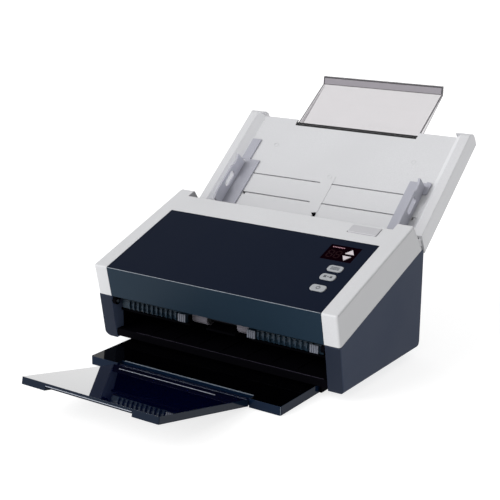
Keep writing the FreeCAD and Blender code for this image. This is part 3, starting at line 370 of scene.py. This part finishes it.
def detail_materials():
    """Finishes that only detail pieces have."""
    return {
        # Painted highlight: light paint of the strip along the cover's fold.
        "fold_highlight_paint": moulded("fold_highlight_finish", (0.30, 0.33, 0.37), 0.3, 0.5),
        "unlit": moulded("unlit_figure_finish", (0.012, 0.0025, 0.004), 0.4, 0.02),
        "dash": moulded("dash_ink_finish", (0.46, 0.25, 0.30), 0.5, 0.2),
        "ink": moulded("key_ink_finish", (0.06, 0.065, 0.075), 0.5, 0.2),
        "dim_grey": moulded("dim_grey_finish", (0.13, 0.14, 0.17), 0.45, 0.4),
        "mirror_black": polished("flap_skin_finish", (0.0005, 0.0016, 0.020), (0.003, 0.008, 0.020),
                                 0.008, 1.75, coat=1.0),
        "dark_smoke": moulded("dark_smoke_finish", (0.045, 0.040, 0.048), 0.2, 0.5, edge_highlight=1.3),
        "mid_smoke": moulded("mid_smoke_finish", (0.26, 0.243, 0.268), 0.15, 0.5, grain=900.0, relief=0.05),
        # Painted highlight: light paint of the bay floor's edge line.
        "bay_highlight_paint": moulded("bay_edge_highlight_finish", (0.045, 0.038, 0.065), 0.4, 0.3),
        # Painted highlight: light paint of the tray's edge and corner strips.
        "tray_highlight_paint": moulded("tray_highlight_finish", (0.15, 0.18, 0.22), 0.3, 0.5),
        # Painted highlight: light paint of the flap's fine lines.
        "line": moulded("flap_highlight_finish", (0.26, 0.28, 0.33), 0.25, 0.5),
    }


def dress_nodes(materials):
    """Give every CAD node the material of its slot, or its own."""
    own = node_materials()
    for row in frame["record"]["subparts"]:
        node = frame["nodes"][row["node"]]
        node.data.materials.clear()
        node.data.materials.append(own.get(row["node"]) or materials[row["material_slot"]])


# --- places: millimetres in, metres out --------------------------------------------------------
def at(x, y, z):
    return Vector((x, y, z)) * MM


def sloped(foot, angle, x, along, up):
    """Point in directions that start at foot and rise to the rear at angle."""
    return foot + at(x, along * math.cos(angle) - up * math.sin(angle),
                     along * math.sin(angle) + up * math.cos(angle))


def on_cover(x, t, h):
    """Up the top panel and out from it."""
    return sloped(COVER_FOOT, COVER_SLOPE, x, t, h)


def on_path(x, t, h):
    """Up the lower paper path and out from it."""
    return sloped(PATH_FOOT, COVER_SLOPE, x, t, h)


def on_chute(x, s, n):
    """Up the chute and out from the top of its rims."""
    return sloped(CHUTE_FOOT, CHUTE_SLOPE, x, s, n)


def on_extension(x, d, h):
    """Up the clear extension and out from its top."""
    return sloped(on_chute(0, *EXTENSION_FOOT), CHUTE_SLOPE - EXTENSION_TILT, x, d, h)


def on_lip(x, a, h):
    """Up the extension's lip and out from its front face."""
    return sloped(on_extension(0, EXTENSION_LENGTH, 0), LIP_SLOPE, x, a, h)


def on_flap(x, s, h):
    """Forward along the flap and out from its top."""
    return sloped(FLAP_FOOT, -FLAP_SLOPE, x, -s, h)


def on_rear(x, z, out):
    """Up the rear cover and out from it."""
    return at(x, REAR_FACE + out, z)


# --- forms -------------------------------------------------------------------------------------
class Form:
    """A mesh under construction."""

    def __init__(self):
        self.mesh = bmesh.new()

    def prism(self, corners, sweep):
        """Solid of a flat outline swept along a vector."""
        near = [self.mesh.verts.new(c) for c in corners]
        far = [self.mesh.verts.new(c + sweep) for c in corners]
        self.mesh.faces.new(near)
        self.mesh.faces.new(far[::-1])
        for k in range(len(near)):
            m = (k + 1) % len(near)
            self.mesh.faces.new((near[k], far[k], far[m], near[m]))

    def bar(self, place, x0, x1, a0, a1, h0, h1):
        """Rectangular bar in the directions of one of the place functions."""
        corners = [place(x0, a0, h0), place(x1, a0, h0), place(x1, a1, h0), place(x0, a1, h0)]
        self.prism(corners, place(x0, a0, h1) - corners[0])

    def bars(self, place, outlines, h0, h1):
        for x0, x1, a0, a1 in outlines:
            self.bar(place, x0, x1, a0, a1, h0, h1)

    def turned(self, profile, origin, axis, steps=24):
        """Closed profile of (along, radius) revolved about an axis; radius 0 ends close it."""
        turn = axis.to_track_quat("Z", "Y")
        angles = [2 * math.pi * k / steps for k in range(steps)]
        rings = []
        for along, radius in profile:
            spots = [at(radius * math.cos(a), radius * math.sin(a), along) for a in angles]
            if radius == 0:
                spots = [at(0, 0, along)]
            rings.append([self.mesh.verts.new(origin + turn @ spot) for spot in spots])
        closed = len(rings[0]) > 1
        for k in range(len(rings) if closed else len(rings) - 1):
            self.skin(rings[k], rings[(k + 1) % len(rings)], steps)

    def skin(self, first, second, steps):
        """Faces between two rings of points; a ring of one point is a flat end's middle."""
        for k in range(steps):
            m = (k + 1) % steps
            corners = [first[k % len(first)], first[m % len(first)],
                       second[m % len(second)], second[k % len(second)]]
            self.mesh.faces.new(list(dict.fromkeys(corners)))

    def coil(self, foot, axis, radius, wire, height, turns):
        """Helical spring wound round an axis."""
        turn = axis.to_track_quat("Z", "Y")
        steps, sides = turns * 16, 6
        rings = []
        for k in range(steps + 1):
            a = 2 * math.pi * turns * k / steps
            ring = []
            for m in range(sides):
                b = 2 * math.pi * m / sides
                reach = radius + wire * math.cos(b)
                spot = at(reach * math.cos(a), reach * math.sin(a), height * k / steps + wire * math.sin(b))
                ring.append(self.mesh.verts.new(foot + turn @ spot))
            rings.append(ring)
        for k in range(steps):
            self.skin(rings[k], rings[k + 1], sides)
        self.mesh.faces.new(rings[0])
        self.mesh.faces.new(rings[-1][::-1])

    def done(self, name, body, material, soften=0.0, smooth=False):
        """Finish the mesh as a piece that rides on a body."""
        bmesh.ops.recalc_face_normals(self.mesh, faces=self.mesh.faces)
        data = bpy.data.meshes.new(name)
        self.mesh.to_mesh(data)
        self.mesh.free()
        data.materials.append(material)
        data.polygons.foreach_set("use_smooth", [smooth] * len(data.polygons))
        piece = bpy.data.objects.new(name, data)
        bpy.context.scene.collection.objects.link(piece)
        if soften:
            edge = piece.modifiers.new("soft_edges", "BEVEL")
            edge.width = soften * MM
            edge.segments = 2
            edge.limit_method = "ANGLE"
        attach(piece, body)


def screw_head(radius, sunk, shoulder, crown, bevel, socket, socket_depth):
    """Profile of a bevelled screw head with a round socket, sunk a little into the face it holds."""
    top = shoulder + crown
    return [(-sunk, 0), (-sunk, radius), (shoulder, radius), (top, radius - bevel), (top, socket),
            (top - socket_depth, socket), (top - socket_depth, 0)]


def glass_bezel(form, t0, t1, rim, h0, h1):
    """Four bars round a scan glass; the short ones stop just clear of the long ones."""
    half, gap = 115.8, 0.1
    for t in (t0, t1 - rim):
        form.bar(on_path, -half, half, t, t + rim, h0, h1)
    for x in (-half, half - rim):
        form.bar(on_path, x, x + rim, t0 + rim + gap, t1 - rim - gap, h0, h1)


# --- pieces: cover -----------------------------------------------------------------------------
def fold_highlight_strip(materials):
    """Fine light strip where the top panel meets the front panel, a painted highlight along the fold."""
    half = 138.6
    down_front = at(0, math.sin(FRONT_LEAN), -math.cos(FRONT_LEAN))
    low = on_cover(-half, 0, 0) + down_front * 0.30 - at(0, 0.03, 0)
    form = Form()
    form.prism([on_cover(-half, 0.42, 0.02), on_cover(-half, 0.0, 0.06), low, on_cover(-half, 0.5, -0.4)],
               at(2 * half, 0, 0))
    form.done("fold_highlight_strip", "cover", materials["fold_highlight_paint"])


def figure_bars(x, t, height):
    """The seven bars of a display figure, as (x0, x1, t0, t1)."""
    thick = height * 0.11
    right, top, middle = x + height * 0.52, t + height, t + height / 2
    level = [(x + thick, right - thick, low, low + thick) for low in (t, middle - thick / 2, top - thick)]
    halves = ((t + thick, middle - thick / 2), (middle + thick / 2, top - thick))
    upright = [(left, left + thick, low, high) for low, high in halves for left in (x, right - thick)]
    return level + upright


def display_marks(materials):
    """Unlit figures in the display window and a row of generic dashes above them."""
    sunk, pitch, length = -0.16, 1.9, 1.3
    form = Form()
    for x in (90.5, 99.5):
        form.bars(on_cover, figure_bars(x, 92.5, height=14.0), sunk, -0.12)
    form.done("display_figures", "cover", materials["unlit"])
    form = Form()
    for k in range(8):
        x = 90.6 + pitch * k
        form.bar(on_cover, x, x + length, 111.4 + 0.3 * (k % 2), 113.0, sunk, -0.10)
    form.done("display_dashes", "cover", materials["dash"])


def open_ring(form, x, t, inner, outer, start, end, h0, h1):
    """Flat ring on the cover from start to end, in turns from the +X side."""
    steps = 20
    angles = [2 * math.pi * (start + (end - start) * k / steps) for k in range(steps + 1)]
    for a, b in zip(angles, angles[1:]):
        corners = [on_cover(x + r * math.cos(c), t + r * math.sin(c), h0)
                   for r, c in ((inner, a), (outer, a), (outer, b), (inner, b))]
        form.prism(corners, on_cover(0, 0, h1) - on_cover(0, 0, h0))


def key_marks(materials):
    """Generic signs on the oblong keys: three lines, two blocks with a dash, an open ring with a stem."""
    h0, h1 = 0.86, 0.96
    lines = [(109.4, 119.6, t, t + 0.9) for t in (75.2, 73.3, 71.4)]
    blocks = [(109.6, 112.6, 56.4, 59.6), (113.6, 116.0, 57.5, 58.5), (117.0, 119.6, 56.4, 59.6)]
    for key, outlines in (("rear_key", lines), ("middle_key", blocks)):
        form = Form()
        form.bars(on_cover, outlines, h0, h1)
        form.done(key + "_mark", key, materials["ink"])
    form = Form()
    open_ring(form, 114.5, 37.5, inner=1.7, outer=2.5, start=0.32, end=1.18, h0=h0, h1=h1)
    form.bar(on_cover, 114.1, 114.9, 38.0, 40.6, h0, h1)
    form.done("front_key_mark", "front_key", materials["ink"])


def cover_insides(materials):
    """Springs over the idlers, glass bezel and white reference strip of the upper path."""
    up = on_path(0, 0, 1) - on_path(0, 0, 0)
    form = Form()
    for t in (EXIT_T, FEED_T):
        for x in (-22.0, 22.0, -38.0, 38.0):
            form.coil(on_path(x, t, 7.6), up, radius=2.2, wire=0.35, height=7.0, turns=5)
    form.done("idler_springs", "cover", materials["steel"], smooth=True)
    form = Form()
    glass_bezel(form, t0=73.6, t1=88.4, rim=1.0, h0=1.45, h1=1.68)
    form.done("upper_glass_bezel", "cover", materials["steel"])
    form = Form()
    form.bar(on_path, -110, 110, 66.0, 71.0, 1.1, 1.48)
    form.done("reference_strip", "cover", materials["white_shell"], 0.1)


# --- pieces: chute -----------------------------------------------------------------------------
def chute_trim(materials):
    """Seal and flush strip at the clear extension; screws, frame and vents of the chute's back."""
    form = Form()
    form.bar(on_chute, -84.4, 84.4, 146.1, 149.0, -11.15, -8.5)
    form.bar(on_chute, -84.8, 84.8, 143.2, 145.9, -8.4, -7.95)
    form.done("extension_seal", "chute", materials["black_rubber"], 0.3)
    down = on_chute(0, 0, -1) - on_chute(0, 0, 0)
    profile = screw_head(2.6, sunk=0.6, shoulder=0.6, crown=0.5, bevel=0.6, socket=1.1, socket_depth=0.8)
    form = Form()
    for x in (-140, 140):
        for s in (20, 132):
            form.turned(profile, on_chute(x, s, CHUTE_BACK - 0.1), down)
    form.done("chute_screws", "chute", materials["steel"])
    half_width, low, high, half_rib = 118, 30, 122, 0.8
    proud = (CHUTE_BACK - 0.8, CHUTE_BACK)
    form = Form()
    for s in (low, high):
        form.bar(on_chute, -half_width, half_width, s - half_rib, s + half_rib, *proud)
    for x in (-half_width, half_width):
        form.bar(on_chute, x - half_rib, x + half_rib, low + 0.9, high - 0.9, *proud)
    for k in range(7):
        s = 100 + RIB_PITCH * k
        form.bar(on_chute, -24, 24, s, s + RIB_PITCH / 2, CHUTE_BACK - 0.7, CHUTE_BACK)
    form.done("chute_back_ribs", "chute", materials["white_shell"], 0.25)


# --- pieces: base ------------------------------------------------------------------------------
def exit_rib(form, x, width, front):
    """Upright rib centred on x, on the exit guide's lip, with its front face at y = front."""
    left, rear = x - width / 2, -77.2
    form.prism([at(left, front, 47.9), at(left, front, 56.5), at(left, rear, 56.8), at(left, rear, 47.6)],
               at(width, 0, 0))


def bay_details(materials):
    """Paler ribs beside the exit rollers and at the lip's right end; a fine light line on the bay floor's
    edge, a painted highlight.
    """
    form = Form()
    for middle in (-45.8, 45.8):
        for k in range(4):
            exit_rib(form, middle + (k - 1.5) * RIB_PITCH, width=2.0, front=-78.7)
    form.done("exit_end_ribs", "base", materials["dim_grey"], 0.2)
    form = Form()
    for k in range(4):
        exit_rib(form, 119.0 + RIB_PITCH * k, width=2.2, front=-78.6)
    form.done("exit_end_blocks", "base", materials["dim_grey"], 0.3)
    form = Form()
    for x0, x1, top in ((-112.0, 40.0, 21.06), (40.0, 134.0, 21.12)):
        form.bar(at, x0, x1, -75.9, -75.4, 20.95, top)
    form.done("bay_edge_highlight", "base", materials["bay_highlight_paint"])


def rear_details(materials):
    """Screws of the rear cover and the metal mouths of its two sockets."""
    back = Vector((0, 1, 0))
    profile = screw_head(2.6, sunk=0.6, shoulder=0.3, crown=0.5, bevel=0.6, socket=1.1, socket_depth=0.7)
    form = Form()
    for x in (-132, -46, 60, 132):
        for z in (22, 106):
            form.turned(profile, on_rear(x, z, 0), back)
    form.done("rear_screws", "base", materials["steel"])
    form = Form()
    form.turned([(0, 3.1), (0, 4.4), (1.1, 4.4), (1.4, 4.0), (1.4, 3.1)], on_rear(-91, 31, -0.7), back)
    form.done("dc_sleeve", "base", materials["steel"])
    form = Form()
    mouth = [(-119.6, -109.4, 35.2, 35.9), (-119.6, -109.4, 26.1, 26.8), (-119.6, -119.0, 26.9, 35.1),
             (-110.0, -109.4, 26.9, 35.1)]
    form.bars(on_rear, mouth, -0.5, 0.5)
    form.done("usb_shield", "base", materials["steel"], 0.1)


def path_details(materials):
    """Bezel of the lower scan glass and collars that keep the roller tyres in place."""
    form = Form()
    glass_bezel(form, t0=59.7, t1=74.3, rim=0.9, h0=-0.06, h1=0.12)
    form.done("lower_glass_bezel", "base", materials["steel"])
    collar = [(0.05, 3.05), (0.05, 6.4), (0.9, 6.4), (1.7, 5.2), (2.6, 4.4), (2.6, 3.05)]
    for body, t in (("exit_drive", EXIT_T), ("transport_drive", TRANSPORT_T), ("feed_drive", FEED_T)):
        form = Form()
        for tyre in (-TYRE_X, TYRE_X):
            for end in (-1, 1):
                form.turned(collar, on_path(tyre + end * TYRE_HALF, t, -SHAFT_DEPTH), Vector((end, 0, 0)), 32)
        form.done(body + "_collars", body, materials["black_rubber"])


def motor_details(materials):
    """Screws on the drive motor's right hand end."""
    motor_radius, off_axis = 21, 17
    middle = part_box("drive_motor")[1] - at(0, motor_radius, motor_radius)
    profile = screw_head(2.2, sunk=0.4, shoulder=0.9, crown=0.4, bevel=0.5, socket=0.9, socket_depth=0.8)
    form = Form()
    for y in (-off_axis, off_axis):
        for z in (-off_axis, off_axis):
            form.turned(profile, middle + at(0, y, z), Vector((1, 0, 0)))
    form.done("motor_screws", "base", materials["steel"])


# --- pieces: tray and flap ---------------------------------------------------------------------
def tray_details(materials):
    """Painted highlights: a fine light strip on the tray's edge over the flap's knuckle and a thin light bar
    on its right front corner.
    """
    form = Form()
    form.bar(at, -83, 85.2, -132.25, -130.4, 10.35, 10.57)
    form.bar(at, 122.7, 123.1, -140.2, -139.8, 1.4, 9.8)
    form.done("tray_highlight_strips", "output_tray", materials["tray_highlight_paint"], 0.1)


def flap_details(materials):
    """Fine raised light lines near the flap's hinge and on its front face, painted highlights, and the glossy
    skin of its top.
    """
    form = Form()
    form.bar(on_flap, -68, 57, 20.0, 21.0, 0.0, 0.35)
    form.bar(on_flap, -53.5, 53.5, 148.45, 148.75, -3.1, -2.3)
    form.done("flap_highlight_lines", "tray_extension", materials["line"], 0.12)
    half, length, corner, cut, thick = 84.9, 148.2, 1.4, 0.4, 0.05
    outline = [(half, 1.2), (half, length - corner), (half - cut, length - cut), (half - corner, length)]
    outline += [(-x, s) for x, s in reversed(outline)]
    form = Form()
    form.prism([on_flap(x, s, 0.0) for x, s in outline], on_flap(0, 0, thick) - on_flap(0, 0, 0))
    form.done("flap_top_skin", "tray_extension", materials["mirror_black"])


# --- pieces: extension -------------------------------------------------------------------------
def extension_rims(materials):
    """Darker smoked rims of the clear extension: both long edges, and the crest and face of its lip."""
    form = Form()
    long_edges = [(-84.85, -83.9, 0.5, 78.6), (83.9, 84.85, 0.5, 78.6)]
    crest, foot = (-84.8, 84.8, 8.2, 10.2), (-83.2, 83.2, 0.0, 0.8)
    lip_sides = [(-84.8, -83.3, 0.4, 8.1), (83.3, 84.8, 0.4, 8.1)]
    form.bars(on_extension, long_edges, 0.02, 0.30)
    form.bars(on_lip, [crest, *lip_sides, foot], 0.02, 0.30)
    form.done("extension_rims", "chute_extension", materials["dark_smoke"])
    form = Form()
    form.bar(on_lip, -83.2, 83.2, 0.9, 8.1, 0.02, 0.22)
    form.done("extension_lip_face", "chute_extension", materials["mid_smoke"])


def add_pieces(materials):
    fold_highlight_strip(materials)
    display_marks(materials)
    key_marks(materials)
    cover_insides(materials)
    chute_trim(materials)
    bay_details(materials)
    rear_details(materials)
    path_details(materials)
    motor_details(materials)
    tray_details(materials)
    flap_details(materials)
    extension_rims(materials)


# --- stage -------------------------------------------------------------------------------------
def floor():
    """Pale floor, large enough to fill every view."""
    reach = 14.0
    corners = [(-reach, -reach, 0), (reach, -reach, 0), (reach, reach, 0), (-reach, reach, 0)]
    mesh = bpy.data.meshes.new("floor")
    mesh.from_pydata(corners, [], [(0, 1, 2, 3)])
    plane = bpy.data.objects.new("floor", mesh)
    bpy.context.scene.collection.objects.link(plane)
    s = Surface("floor_paint")
    s.drive(Base_Color=s.mottled(s.noise(1.5, 2.0), (0.40, 0.40, 0.40), (0.42, 0.42, 0.42)))
    s.set(Roughness=0.9, Specular_IOR_Level=0.1)
    s.set(Emission_Color=(1.0, 1.0, 1.0, 1.0), Emission_Strength=0.78)
    mesh.materials.append(s.material)


def outward(azimuth, elevation):
    """Direction away from the object; azimuth 0 is its front and grows toward +X."""
    return Vector((math.sin(azimuth) * math.cos(elevation), -math.cos(azimuth) * math.cos(elevation),
                   math.sin(elevation)))


def sun(name, strength, azimuth, elevation, softness):
    """Soft studio light from a direction; angles in degrees."""
    data = bpy.data.lights.new(name, "SUN")
    data.energy = strength
    data.angle = math.radians(softness)
    lamp = bpy.data.objects.new(name, data)
    bpy.context.scene.collection.objects.link(lamp)
    direction = outward(math.radians(azimuth), math.radians(elevation))
    lamp.rotation_mode = "QUATERNION"
    lamp.rotation_quaternion = direction.to_track_quat("Z", "Y")


def studio():
    """White surroundings, dimmer overhead and to the right; soft lights from the front left and above."""
    world = bpy.data.worlds.new("studio")
    bpy.context.scene.world = world
    world.use_nodes = True
    sky = Nodes(world.node_tree, "Generated")
    direction = sky.split(sky.place)
    level = sky.remap(direction["Z"], 0.15, 0.85, 1.05, 0.35)
    side = sky.remap(direction["X"], -0.6, 0.8, 1.2, 0.52)
    background = sky.tree.nodes["Background"]
    background.inputs["Color"].default_value = (1.0, 1.0, 1.0, 1.0)
    sky.wire(sky.times(level, side), background.inputs["Strength"])
    sun("key_light", 2.0, azimuth=-35, elevation=32, softness=40)
    sun("top_light", 0.35, azimuth=20, elevation=80, softness=60)


def camera():
    """Camera at the front right, a little above, with a slight roll."""
    back = outward(CAMERA_AZIMUTH, CAMERA_ELEVATION)
    level_right = Vector((math.cos(CAMERA_AZIMUTH), math.sin(CAMERA_AZIMUTH), 0.0))
    level_up = back.cross(level_right)
    right = level_right * math.cos(CAMERA_ROLL) + level_up * math.sin(CAMERA_ROLL)
    up = level_up * math.cos(CAMERA_ROLL) - level_right * math.sin(CAMERA_ROLL)
    data = bpy.data.cameras.new("camera")
    data.lens = CAMERA_LENS
    data.sensor_width = 36.0
    data.clip_end = 100.0
    view = bpy.data.objects.new("camera", data)
    bpy.context.scene.collection.objects.link(view)
    turn = Matrix((right, up, back)).transposed().to_4x4()
    view.matrix_world = Matrix.Translation(CAMERA_TARGET + back * CAMERA_DISTANCE) @ turn
    bpy.context.scene.camera = view


finishes = slot_materials()
dress_nodes(finishes)
add_pieces(finishes | detail_materials())
floor()
studio()
camera()
bpy.context.scene.view_settings.view_transform = "Standard"
